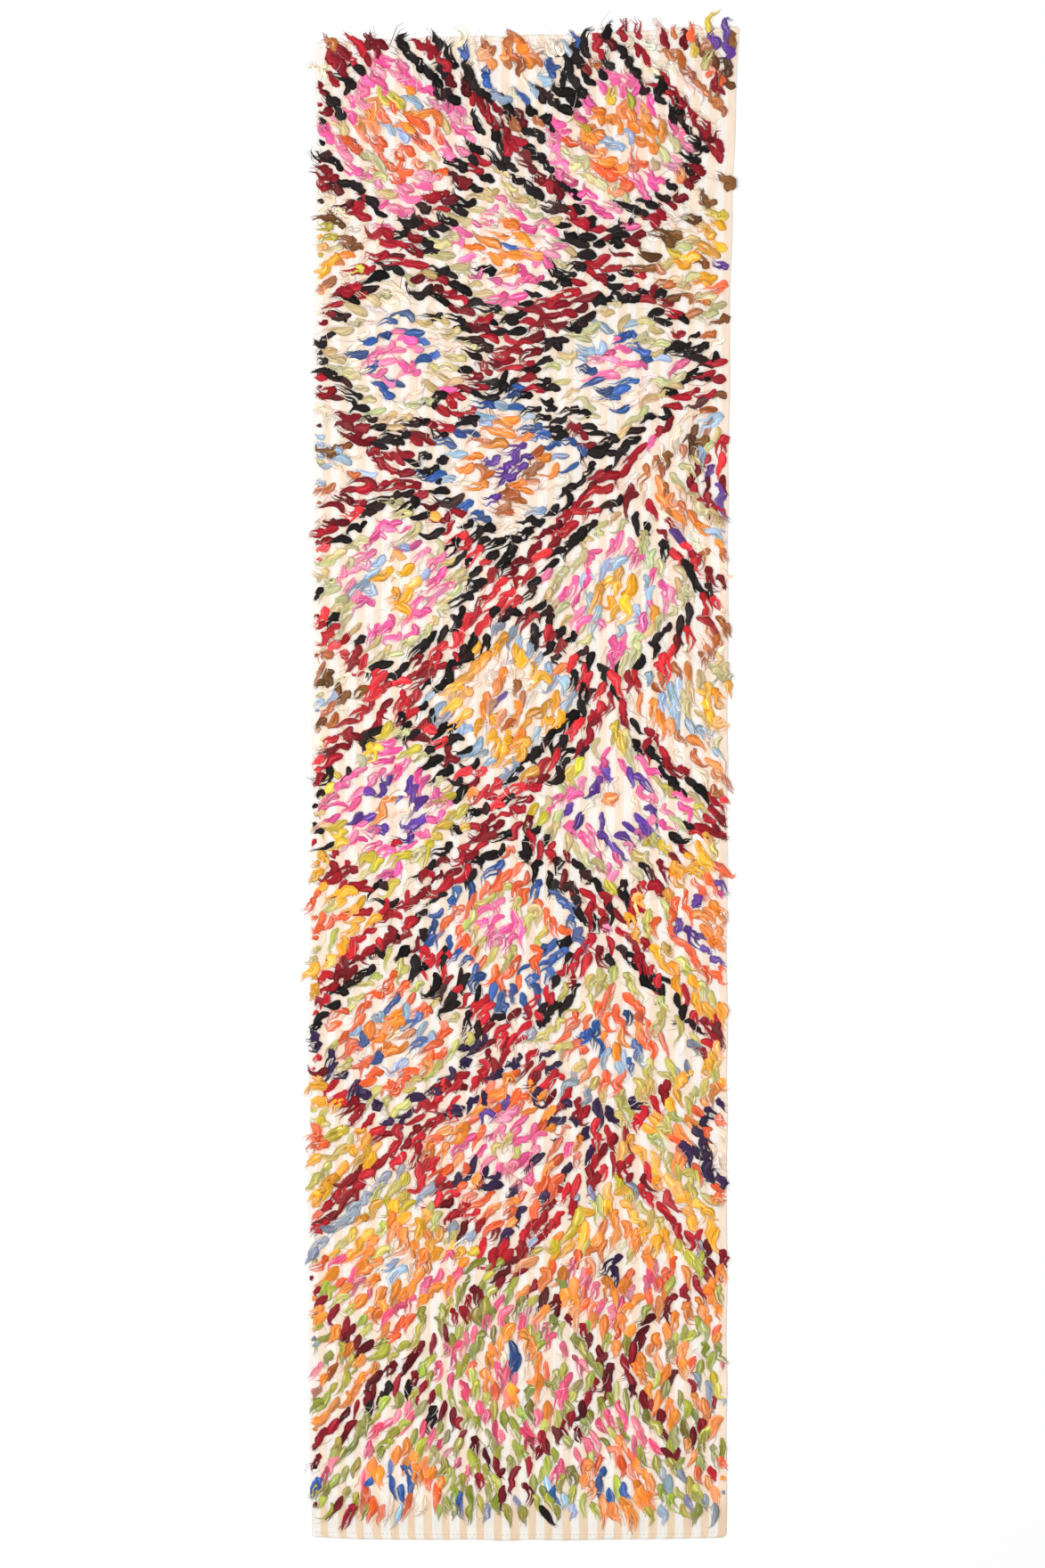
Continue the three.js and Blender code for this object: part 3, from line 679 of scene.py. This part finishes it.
class Locks:
    """Every lock of wool: its middle line from its knot to its tip, its size and its tint."""

    def __init__(self, heads, wool):
        count = len(heads)
        along, *columns = LOCK_SIZES[::-1].T
        sizes = [np.interp(heads[:, 1], along, column) for column in columns]
        length, width, wildness, forked, self.slimness, pointed = sizes
        self.everyone = np.arange(count)
        self.wool = wool
        self.wildness = wildness * np.where(wool == "aubergine", 1.5, 1.0)
        length = length * np.clip(rng.normal(1, 0.18, count), 0.6, 1.6)
        self.paths, self.headings, self.length = lock_paths(heads, length, self.wildness)
        width = width * np.clip(rng.normal(1, 0.16, count), 0.6, 1.4)
        self.width = np.minimum(width, 0.5 * self.length + 3)
        self.fullness = np.array([WOOLS[name][1] for name in wool])
        self.forked = rng.random(count) < forked
        self.pointed = np.clip(rng.normal(pointed, 0.25, count), 0, 1) * ~self.forked
        self.lift = rng.uniform(0, 0.7, count) * np.minimum(self.wildness, 1.2)
        self.tail_lift = rng.uniform(0.3, 2.6, count) * np.minimum(self.wildness, 1.2)
        self.tint = lock_tints(heads, wool)
        self.paleness = np.minimum(rng.exponential(np.where(wool == "pink", 0.2, 0.09)), 0.6)

    def strands(
        self, rows, *, start, stop, offset, spread, breadth, profile, sides, rise, flatness, tips, paler
    ):
        """One strand in each of the locks that rows names, from start to stop, as shares of its length."""
        profile = np.atleast_2d(profile)
        t = np.linspace(0, 1, profile.shape[1])[None, :]
        s = start[:, None] + (stop - start)[:, None] * t
        place = along_path(self.paths[rows], s)
        heading = along_path(self.headings[rows], s)
        width, wildness = self.width[rows, None], self.wildness[rows, None]
        slimmer = 1 - self.slimness[rows, None] * smooth_step(0.25, 0.7, s)
        half_width = breadth[:, None] * width * profile * slimmer / 2
        half_height = half_width * flatness[:, None]
        crimp = rng.normal(0, 0.11, len(rows))[:, None] * wildness
        turns = rng.uniform(1.0, 2.6, len(rows))[:, None]
        phase = rng.uniform(0, 2 * math.pi, len(rows))[:, None]
        aside = offset[:, None] * np.sin(np.pi * np.clip(0.12 + s, 0, 1))
        aside = aside + spread[:, None] * smooth_step(0.2, 1.1, s)
        aside = width * (aside + crimp * np.sin(2 * math.pi * turns * s + phase))
        place = place + aside[..., None] * np.stack([-np.sin(heading), np.cos(heading)], -1)
        bow = np.exp(-(((s - 0.16) / 0.24) ** 2)) * 0.8
        height = GROUND_THICKNESS + width * 0.08 + self.lift[rows, None] + bow
        height = height + rise[:, None] + (self.tail_lift[rows, None] - 2.4) * smooth_step(0.4, 1.0, s)
        height = rest_on_cloth(place, height, half_height * UNDERSIDE)
        shade = np.exp(rng.normal(0, 0.1, (len(rows), 1, 1)))
        colours = self.tint[rows, None, :] * shade + np.zeros(place.shape[:2] + (3,))
        thinness = np.clip(self.paleness[rows, None] + paler * smooth_step(0.42, 1.05, s), 0, 1)
        colours = np.concatenate([colours, thinness[..., None]], -1)
        turn = np.gradient(place, axis=1)
        facing = np.arctan2(turn[..., 1], turn[..., 0])
        seeds = rng.uniform(0, 1000, len(rows))
        sizes = half_width, half_height, sides
        return Strands(place, height, facing, *sizes, colours, self.wool[rows], seeds, tips)


def lock_cores(locks, rows, sections):
    """The fat middle of each lock that rows names, round at the head or pointed there."""
    count = len(rows)
    wanted, places = np.linspace(0, 1, sections), np.linspace(0, 1, len(ROUND_LOCK))
    pointed = locks.pointed[rows, None]
    profile = np.interp(wanted, places, ROUND_LOCK) * (1 - pointed)
    profile = profile + np.interp(wanted, places, LEAF_LOCK) * pointed
    stop = np.where(locks.forked[rows], rng.uniform(0.24, 0.42, count), rng.uniform(0.74, 0.97, count))
    return locks.strands(
        rows,
        start=np.zeros(count),
        stop=stop,
        offset=rng.normal(0, 0.03, count),
        spread=rng.normal(0, 0.06, count),
        breadth=locks.fullness[rows],
        profile=profile,
        sides=6,
        rise=np.zeros(count),
        flatness=rng.uniform(0.36, 0.5, count),
        tips=(0.7, 1.2),
        paler=0.5,
    )


def lock_legs(locks, hand):
    """One of the two legs at the sides of each core, all that there is of a forked lock past its head."""
    rows, forked = locks.everyone, locks.forked
    count = len(rows)
    offset = np.where(forked, rng.uniform(0.24, 0.34, count), rng.uniform(0.12, 0.26, count))
    spread = np.where(forked, rng.uniform(0.0, 0.5, count), rng.uniform(-0.22, 0.12, count))
    breadth = np.where(forked, rng.uniform(0.38, 0.52, count), rng.uniform(0.3, 0.46, count))
    return locks.strands(
        rows,
        start=rng.uniform(0.03, 0.14, count),
        stop=rng.uniform(0.78, 1.0, count),
        offset=hand * offset,
        spread=hand * spread,
        breadth=breadth * locks.fullness,
        profile=np.array([0.5, 0.98, 0.92, 0.6, 0.1]),
        sides=4,
        rise=rng.uniform(0.1, 1.7, count),
        flatness=rng.uniform(0.5, 0.72, count),
        tips=(0.6, 1.8),
        paler=0.55,
    )


def lock_wisps(locks, heads):
    """A thin strand along each lock that runs out to its tip, and the loose hairs around it."""
    rows = locks.everyone
    count = len(rows)
    wisp = locks.strands(
        rows,
        start=rng.uniform(0.2, 0.4, count),
        stop=np.ones(count),
        offset=rng.normal(0, 0.12, count),
        spread=rng.normal(0, 0.16, count),
        breadth=rng.uniform(0.18, 0.32, count),
        profile=np.array([0.6, 1.0, 0.9, 0.6, 0.1]),
        sides=3,
        rise=rng.uniform(0.9, 2.6, count),
        flatness=np.full(count, 0.9),
        tips=(1.0, 2.0),
        paler=0.6,
    )
    hairs_each = np.where(np.isin(locks.wool, PALE_WOOLS + DARK_WOOLS), 2, 1)
    hairs_each = hairs_each + (heads[:, 1] > CRIMPED_FROM[1])
    rows = np.repeat(locks.everyone, hairs_each)
    count = len(rows)
    hairs = locks.strands(
        rows,
        start=rng.uniform(0.0, 0.6, count),
        stop=np.ones(count),
        offset=rng.normal(0, 0.35, count),
        spread=rng.normal(0, 0.5, count),
        breadth=rng.uniform(0.04, 0.09, count),
        profile=np.array([0.5, 1.0, 0.8, 0.4]),
        sides=3,
        rise=rng.uniform(0, 2.5, count),
        flatness=np.ones(count),
        tips=(1.5, 2.5),
        paler=0.5,
    )
    return [wisp, hairs]


def loose_fibres():
    """Fine pale fibres shed by the undyed wool, which lie over the ground and across the locks."""
    across = rng.uniform(max(LEFT_SELVEDGE) + 12, min(RIGHT_SELVEDGE) - 12, LOOSE_FIBRES)
    starts = np.stack([across, rng.uniform(LOWEST_FOOT + BARE_BAND, 1500, LOOSE_FIBRES)], -1)
    length = rng.uniform(*FIBRE_LENGTHS, LOOSE_FIBRES)
    t = np.linspace(0, 1, 5)[None, :]
    heading = flow_at(starts) + rng.normal(0, 0.9, LOOSE_FIBRES)
    bend = rng.normal(0, 1.3, LOOSE_FIBRES)
    angle = heading[:, None] + bend[:, None] * (t - 0.5)
    place = starts[:, None] + course_of(angle) * length[:, None, None]
    half_width = rng.uniform(0.35, 0.9, LOOSE_FIBRES)[:, None] * np.array([0.5, 1, 1, 0.8, 0.3])
    height = rest_on_cloth(place, rng.uniform(4, 13, LOOSE_FIBRES)[:, None] + 0 * t, half_width)
    white, wool = np.ones((LOOSE_FIBRES, 5, 4)), np.full(LOOSE_FIBRES, "cream")
    seeds = rng.uniform(0, 1000, LOOSE_FIBRES)
    return Strands(place, height, angle, half_width, half_width, 3, white, wool, seeds, (1.5, 2.5))


def wool_piece(name, groups):
    """One joined mesh of strands, with its fibre coordinates, its tints and a layout for a baked texture."""
    vertices, threes, fours, tints, seeds = ([] for _ in range(5))
    layers = {"Fibre": ([], []), "OFBake": ([], [])}
    groups = [group for group in groups if len(group.vertices)]
    columns = math.ceil(math.sqrt(sum(len(group.vertices) for group in groups)))
    offset = placed = 0
    for group in groups:
        count, each = group.vertices.shape[:2]
        ends, sides, uv = tube(group.sections, group.sides)
        first = offset + np.arange(count)[:, None, None] * each
        threes.append((ends[None] + first).reshape(-1, 3))
        fours.append((sides[None] + first).reshape(-1, 4))
        vertices.append(group.vertices.reshape(-1, 3))
        tints.append(group.tint.reshape(-1, 4))
        seeds.append(np.repeat(group.seeds, each))
        number = placed + np.arange(count)
        corner = np.stack([number % columns, number // columns], -1)[:, None, :]
        fibre = uv[None] * group.spans[:, None, :]
        layout = (corner + LAYOUT_MARGIN + (1 - 2 * LAYOUT_MARGIN) * uv[None]) / columns
        split = len(ends) * 3
        for layer, places in (("Fibre", fibre), ("OFBake", layout)):
            layers[layer][0].append(places[:, :split].reshape(-1, 2))
            layers[layer][1].append(places[:, split:].reshape(-1, 2))
        placed += count
        offset += count * each
    piece = new_mesh(name, *map(np.concatenate, (vertices, threes, fours)))
    for layer, (of_threes, of_fours) in layers.items():
        add_uv(piece, layer, np.concatenate(of_threes + of_fours))
    tint = piece.data.color_attributes.new("wool_tint", "FLOAT_COLOR", "POINT")
    tint.data.foreach_set("color", np.concatenate(tints).astype(np.float32).ravel())
    seed = piece.data.attributes.new("lock_seed", "FLOAT", "POINT")
    seed.data.foreach_set("value", np.concatenate(seeds).astype(np.float32))
    return piece


# Materials


def paint(rgb):
    """An sRGB colour as a shader's socket takes it."""
    return (*linear(rgb), 1)


class Graph:
    """The shader nodes of one material."""

    def __init__(self, name):
        self.material = bpy.data.materials.new(name)
        self.material.use_nodes = True
        self.tree = self.material.node_tree

    def put(self, node, inputs):
        """Sets a node's sockets, each to a number, to a colour or to the output of another node."""
        for key, value in inputs.items():
            if isinstance(value, bpy.types.NodeSocket):
                self.tree.links.new(value, node.inputs[key])
            else:
                node.inputs[key].default_value = value

    def add(self, kind, inputs, **settings):
        """The outputs of a new node."""
        node = self.tree.nodes.new("ShaderNode" + kind)
        for name, value in settings.items():
            setattr(node, name, value)
        self.put(node, inputs)
        return node.outputs

    def finished(self, inputs):
        self.put(self.tree.nodes["Principled BSDF"], inputs)
        return self.material

    def noise(self, place, stretch, scale, detail, roughness=0.5):
        stretched = self.add("Mapping", {"Vector": place, "Scale": stretch})[0]
        inputs = {"Vector": stretched, "Scale": scale, "Detail": detail, "Roughness": roughness}
        return self.add("TexNoise", inputs)["Fac"]

    def maths(self, operation, first, second=0, **settings):
        return self.add("Math", {0: first, 1: second}, operation=operation, **settings)[0]

    def mapped(self, value, low, high, to_low, to_high, steps="LINEAR"):
        inputs = {"Value": value, "From Min": low, "From Max": high, "To Min": to_low, "To Max": to_high}
        return self.add("MapRange", inputs, interpolation_type=steps)["Result"]

    def mixed(self, share, first, second, **settings):
        inputs = {"Factor": share, "A": first, "B": second}
        return self.add("Mix", inputs, data_type="RGBA", **settings)["Result"]

    def scaled(self, colour, factor):
        return self.add("VectorMath", {0: colour, "Scale": factor}, operation="SCALE")["Vector"]

    def bumped(self, height, strength, distance):
        return self.add("Bump", {"Height": height, "Strength": strength, "Distance": distance})["Normal"]


def wool_material(name, colour, paling):
    """Unspun wool: streaks of painted shade and highlight along the lock, a tint of its own for each lock,
    paler where it lies thin.
    """
    graph = Graph(name)
    fibre = graph.add("SeparateXYZ", {0: graph.add("UVMap", {}, uv_map="Fibre")["UV"]})
    seed = graph.add("Attribute", {}, attribute_name="lock_seed")["Fac"]
    place = graph.add("CombineXYZ", {"X": fibre["X"], "Y": fibre["Y"], "Z": seed})[0]
    streaks = graph.noise(place, (230, 20, 1), 1, 4, 0.65)
    tint = graph.add("Attribute", {}, attribute_name="wool_tint")
    tinted = graph.mixed(1, paint(colour), tint["Color"], blend_type="MULTIPLY")
    # The tint's alpha says how thin the wool lies; the streaks' widest partings pale too, partly as painted
    # highlights
    partings_and_highlights = graph.mapped(streaks, 0.56, 0.7, 0, 0.8)
    thin = graph.maths("ADD", tint["Alpha"], partings_and_highlights, use_clamp=True)
    paled = graph.mixed(graph.maths("MULTIPLY", thin, paling), tinted, paint(THIN_WOOL_AND_HIGHLIGHT))
    # The streaks scale the colour from about half to one and a half: painted shade between fibres, painted
    # highlights on them
    return graph.finished(
        {
            "Base Color": graph.scaled(paled, graph.mapped(streaks, 0.3, 0.7, 0.48, 1.46)),
            "Roughness": graph.mapped(streaks, 0, 1, 0.6, 0.9),
            "Normal": graph.bumped(streaks, 0.6, 0.0006),
            "Sheen Weight": 0.03,
            "Sheen Roughness": 0.45,
            "Specular IOR Level": 0.16,
        }
    )


def weave_material():
    """The flat weave: pairs of beige and off-white stripes along the cloth, with fine wefts across them."""
    graph = Graph("ground_weave")
    cloth = graph.add("UVMap", {}, uv_map="Cloth")["UV"]
    place = graph.add("SeparateXYZ", {0: cloth})
    # Stripes wander by a millimetre or two, as the weaver beat them in
    wander = graph.mapped(graph.noise(cloth, (1, 0.12, 1), 24, 2), 0.3, 0.7, -0.0022, 0.0022)
    across = graph.maths("SUBTRACT", graph.maths("ADD", place["X"], wander), FIRST_STRIPE * MM)
    turn = graph.maths("MULTIPLY", across, 2 * math.pi / (STRIPE_PAIR * MM))
    stripe = graph.mapped(graph.maths("COSINE", turn), -0.24, 0.08, 0, 1, "SMOOTHSTEP")
    mottled = graph.mapped(graph.noise(cloth, (1, 0.35, 1), 60, 4), 0.3, 0.7, 0.93, 1.05)
    wefts = graph.maths("SINE", graph.maths("MULTIPLY", place["Y"], 2 * math.pi / (WEFT_PITCH * MM)))
    warps = graph.maths("SINE", graph.maths("MULTIPLY", place["X"], 2 * math.pi / (WARP_PITCH * MM)))
    woven = graph.maths("MULTIPLY", wefts, warps)
    # The yarn's mottled tone, times the ribs of wefts and warps painted lighter and darker: painted shade on
    # the ribs
    mottle_and_rib_shade = graph.maths("MULTIPLY", mottled, graph.mapped(woven, -1, 1, 0.965, 1.03))
    pile_starts = BARE_BAND - CLOTH_LENGTH / 2
    edges = (pile_starts - 20) * MM, (pile_starts + 30) * MM
    # Under the pile the stripes are painted lighter: painted light that offsets the shade cast by the locks
    under_pile = graph.mapped(place["Y"], *edges, 0, 1, "SMOOTHSTEP")
    bare, lit_under_pile = (
        graph.mixed(stripe, paint(first), paint(second)) for first, second in (BARE_STRIPES, STRIPES_LIT_UNDER_PILE)
    )
    fine = graph.noise(cloth, (1, 1, 1), 900, 3)
    relief = graph.maths("ADD", graph.maths("MULTIPLY", woven, 0.5), fine)
    return graph.finished(
        {
            "Base Color": graph.scaled(graph.mixed(under_pile, bare, lit_under_pile), mottle_and_rib_shade),
            "Roughness": graph.mapped(fine, 0, 1, 0.8, 0.98),
            "Normal": graph.bumped(relief, 0.5, 0.0005),
            "Sheen Weight": 0.15,
            "Specular IOR Level": 0.2,
        }
    )


def thread_material():
    """Cotton sewing thread along the hem, with its twist."""
    graph = Graph("hem_thread")
    place = graph.add("TexCoord", {})["Object"]
    inputs = {"Vector": place, "Scale": 700, "Distortion": 1.5}
    twist = graph.add("TexWave", inputs, bands_direction="DIAGONAL")["Fac"]
    shaded = graph.mixed(twist, (*linear(HEM_THREAD) * 0.8, 1), paint(HEM_THREAD))
    return graph.finished({"Base Color": shaded, "Roughness": 0.8})


# Hem


def hem_stitches():
    """Running stitches that hold both hems, each a short length of thread lying on the cloth."""
    starts, facings = [], []
    for at_head in (False, True):
        for share in np.arange(0.012, 0.99, STITCH_PITCH / CLOTH_WIDTH):
            foot, head = ends_at(share)
            along = head - HEM_DEPTH + 2 if at_head else foot + HEM_DEPTH - 2
            left, right = selvedges_at(along)
            starts.append((left + share * (right - left), along))
            facings.append(rng.normal(0, 0.09))
    starts, facings = np.array(starts), np.array(facings)
    t = np.linspace(-0.5, 0.5, 5)
    reach = rng.uniform(*STITCH_LENGTHS, len(starts))[:, None] * t
    places = starts[:, None, :] + reach[..., None] * toward(facings)[:, None, :]
    height = HEM_THICKNESS + 0.3 - 1.5 * (2 * t) ** 4 + np.zeros((len(starts), 1))
    thick = np.full(height.shape, STITCH_THICKNESS / 2)
    sizes = thick, thick * 0.8, 6
    looks = np.ones((*height.shape, 4)), np.full(len(starts), "thread"), np.zeros(len(starts))
    headings = np.repeat(facings[:, None], 5, 1)
    return wool_piece("hem_stitches", [Strands(places, height, headings, *sizes, *looks, (0.6, 0.6))])


# The rug


def build_rug():
    cloth = ground_cloth()
    cloth.data.materials.append(weave_material())
    stitches = hem_stitches()
    stitches.data.materials.append(thread_material())

    heads = knots()
    length = np.interp(heads[:, 1], LOCK_SIZES[::-1, 0], LOCK_SIZES[::-1, 1])
    wool = wool_names(heads + 0.3 * length[:, None] * toward(flow_at(heads)))
    missing = np.select([wool == name for name in BARE_SHARE], list(BARE_SHARE.values()), 0.0)
    kept = rng.random(len(heads)) >= missing
    heads, wool = heads[kept], wool[kept]
    locks = Locks(heads, wool)
    # The cores have more sections where the wool is crimped
    crimped = heads[:, 1] > CRIMPED_FROM[1] - 100
    strands = [
        lock_cores(locks, locks.everyone[~crimped], 7),
        lock_cores(locks, locks.everyone[crimped], 12),
        lock_legs(locks, -1),
        lock_legs(locks, 1),
        *lock_wisps(locks, heads),
        loose_fibres(),
    ]
    pieces = [stitches]
    for name, (colour, _, paling) in WOOLS.items():
        chosen = [group.picked(group.wool == name) for group in strands]
        triangles = sum(group.triangles() for group in chosen)
        if not triangles:
            continue
        material = wool_material("wool_" + name, colour, paling)
        parts = math.ceil(triangles / PIECE_LIMIT)
        for part in range(parts):
            share = [
                group.picked(np.arange(len(group.vertices)) * parts // max(1, len(group.vertices)) == part)
                for group in chosen
            ]
            label = "wool_" + name if parts == 1 else f"wool_{name}_{part + 1}"
            piece = wool_piece(label, share)
            piece.data.materials.append(material)
            pieces.append(piece)
    for piece in (cloth, *pieces):
        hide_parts("rug")
        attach(piece, "root")
    return cloth


# Floor, light and camera

# The picture's size in pixels, the millimetres that a pixel spans, and the pixel of the cloth's middle
FRAME_SIZE = (1173, 1760)
SCALE = 1.82
FRAME_MIDDLE = (583.5, 883)
CAMERA_HEIGHT = 14.0
SENSOR = 36.0


def floor():
    mesh = bpy.data.meshes.new("floor")
    mesh.from_pydata([(-9, -9, 0), (9, -9, 0), (9, 9, 0), (-9, 9, 0)], [], [(0, 1, 2, 3)])
    plane = bpy.data.objects.new("floor", mesh)
    plane.location.z = -0.0003
    bpy.context.scene.collection.objects.link(plane)
    inputs = {"Base Color": paint(FLOOR_COLOUR), "Roughness": 0.9, "Specular IOR Level": 0.1}
    mesh.materials.append(Graph("floor").finished(inputs))


def area_light(name, place, target, size, power):
    data = bpy.data.lights.new(name, "AREA")
    data.shape = "RECTANGLE"
    data.size, data.size_y = size
    data.energy = power
    lamp = bpy.data.objects.new(name, data)
    lamp.location = place
    direction = np.array(target) - np.array(place)
    yaw = math.atan2(direction[1], direction[0]) - math.pi / 2
    tilt = math.acos(-direction[2] / np.linalg.norm(direction))
    lamp.rotation_euler = (tilt, 0, yaw)
    bpy.context.scene.collection.objects.link(lamp)


def studio():
    floor()
    area_light("top", (-0.8, -0.3, 9.0), (0, -0.1, 0), (2.6, 7.5), 378)
    area_light("key", (-2.6, 1.0, 5.0), (0, -0.1, 0), (2.6, 5.6), 112)
    world = bpy.data.worlds.new("world")
    world.use_nodes = True
    world.node_tree.nodes["Background"].inputs["Color"].default_value = (1, 1, 1, 1)
    world.node_tree.nodes["Background"].inputs["Strength"].default_value = 0.48
    bpy.context.scene.world = world
    bpy.context.scene.view_settings.view_transform = "Standard"


def camera():
    data = bpy.data.cameras.new("camera")
    data.sensor_fit = "VERTICAL"
    data.sensor_height = SENSOR
    data.lens = SENSOR * CAMERA_HEIGHT / (FRAME_SIZE[1] * SCALE * MM)
    data.clip_end = 100
    eye = bpy.data.objects.new("camera", data)
    shift_x = (FRAME_SIZE[0] / 2 - FRAME_MIDDLE[0]) * SCALE * MM
    shift_y = (FRAME_MIDDLE[1] - FRAME_SIZE[1] / 2) * SCALE * MM
    eye.location = (MIDDLE[0] + shift_x, MIDDLE[1] + shift_y, CAMERA_HEIGHT)
    bpy.context.scene.collection.objects.link(eye)
    bpy.context.scene.camera = eye


camera()
studio()
build_rug()
